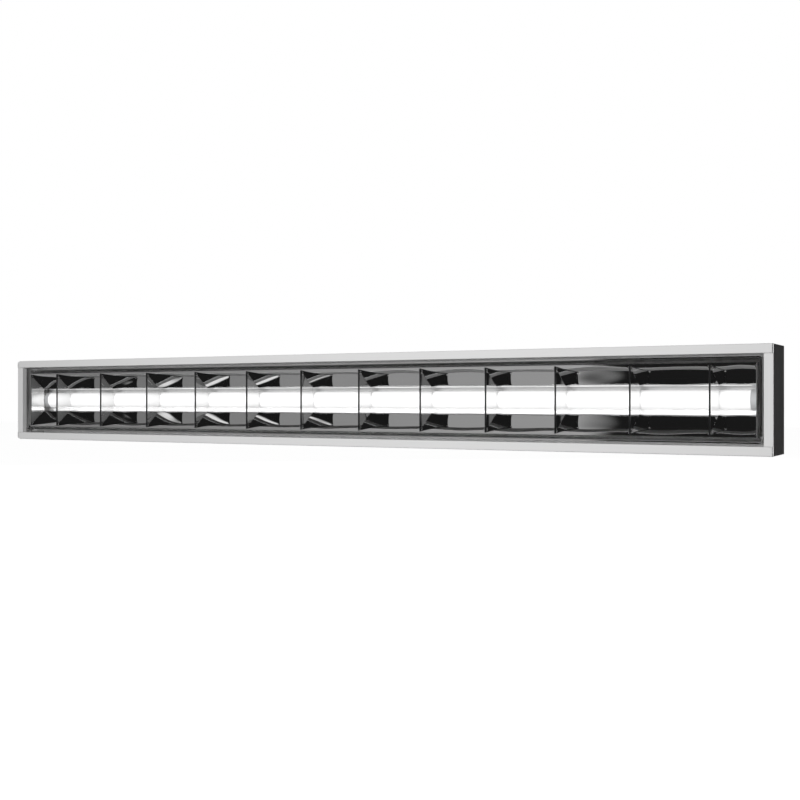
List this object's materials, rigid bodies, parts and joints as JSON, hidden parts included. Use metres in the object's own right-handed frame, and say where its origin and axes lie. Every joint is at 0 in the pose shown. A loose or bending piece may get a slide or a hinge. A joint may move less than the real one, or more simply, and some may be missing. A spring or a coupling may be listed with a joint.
{
  "type": "louvre luminaire",
  "caption": "Long rectangular surface-mounted luminaire: folded steel housing, tubular lamp in end holders and a hinged mirror louvre of V-shaped cross blades.",
  "frame": {"origin": "centre of the flat back face that is screwed to a ceiling or wall", "axes": "+X along the length, -Y out of the light face, +Z across the width, away from the louvre's hinge"},
  "size_m": [1.25, 0.066, 0.133],
  "materials": {
    "housing_paint": "fine satin powder coat",
    "tray_paint": "white gloss coat",
    "reflector_sheet": "polished",
    "plated_steel": "zinc plated",
    "spring_steel": "satin",
    "plain_aluminium": "satin",
    "contact_brass": "satin",
    "opal_glass": "opal",
    "white_moulding": "satin",
    "grey_moulding": "matt",
    "board_green": "matt",
    "chip_yellow": "satin",
    "lead_brown": "matt",
    "lead_blue": "matt",
    "lead_green_yellow": "matt",
    "black_rubber": "matt"
  },
  "bodies": {
    "housing": {"housing_channel": "housing_paint", "end_cap_left": "housing_paint", "end_cap_right": "housing_paint", "gear_tray": "tray_paint", "hinge_bracket_left": "plated_steel", "hinge_bracket_right": "plated_steel", "tray_spacers": "plated_steel", "tray_screws": "plated_steel", "terminal_screws": "plated_steel", "earth_stud": "plated_steel", "earth_nut": "plated_steel", "catch_spring_left": "spring_steel", "catch_spring_right": "spring_steel", "catch_rivets": "plain_aluminium", "lampholder_contacts_left": "contact_brass", "lampholder_contacts_right": "contact_brass", "terminal_clamps": "contact_brass", "earth_lug": "contact_brass", "lampholder_left": "white_moulding", "lampholder_right": "white_moulding", "terminal_block": "white_moulding", "lead_clips": "grey_moulding", "lead_live": "lead_brown", "lead_neutral": "lead_blue", "lead_earth": "lead_green_yellow", "cable_grommet": "black_rubber"},
    "louvre": {"side_reflector_top": "reflector_sheet", "side_reflector_bottom": "reflector_sheet", "cross_blade_01": "reflector_sheet", "cross_blade_02": "reflector_sheet", "cross_blade_03": "reflector_sheet", "cross_blade_04": "reflector_sheet", "cross_blade_05": "reflector_sheet", "cross_blade_06": "reflector_sheet", "cross_blade_07": "reflector_sheet", "cross_blade_08": "reflector_sheet", "cross_blade_09": "reflector_sheet", "cross_blade_10": "reflector_sheet", "cross_blade_11": "reflector_sheet", "cross_blade_12": "reflector_sheet", "end_blade_left": "reflector_sheet", "end_blade_right": "reflector_sheet", "hinge_pin_left": "plated_steel", "hinge_pin_right": "plated_steel"},
    "lamp": {"lamp_tube": "opal_glass", "lamp_cap_left": "plain_aluminium", "lamp_cap_right": "plain_aluminium", "lamp_pins_left": "contact_brass", "lamp_pins_right": "contact_brass", "lamp_led_strip": "plain_aluminium", "lamp_led_chips": "chip_yellow", "lamp_driver": "board_green", "lamp_rotor_left": "white_moulding", "lamp_rotor_right": "white_moulding"}
  },
  "joints": [
    {"name": "louvre_swing", "type": "hinge", "parent": "housing", "child": "louvre", "pos_m": [0, -0.054, -0.05], "axis": [1, 0, 0], "range_deg": [0, 90], "deforming": ["catch_spring_left", "catch_spring_right"]},
    {"name": "lamp_turn", "type": "hinge", "parent": "housing", "child": "lamp", "pos_m": [0, -0.0175, 0], "axis": [1, 0, 0], "range_deg": [0, 90]}
  ]
}
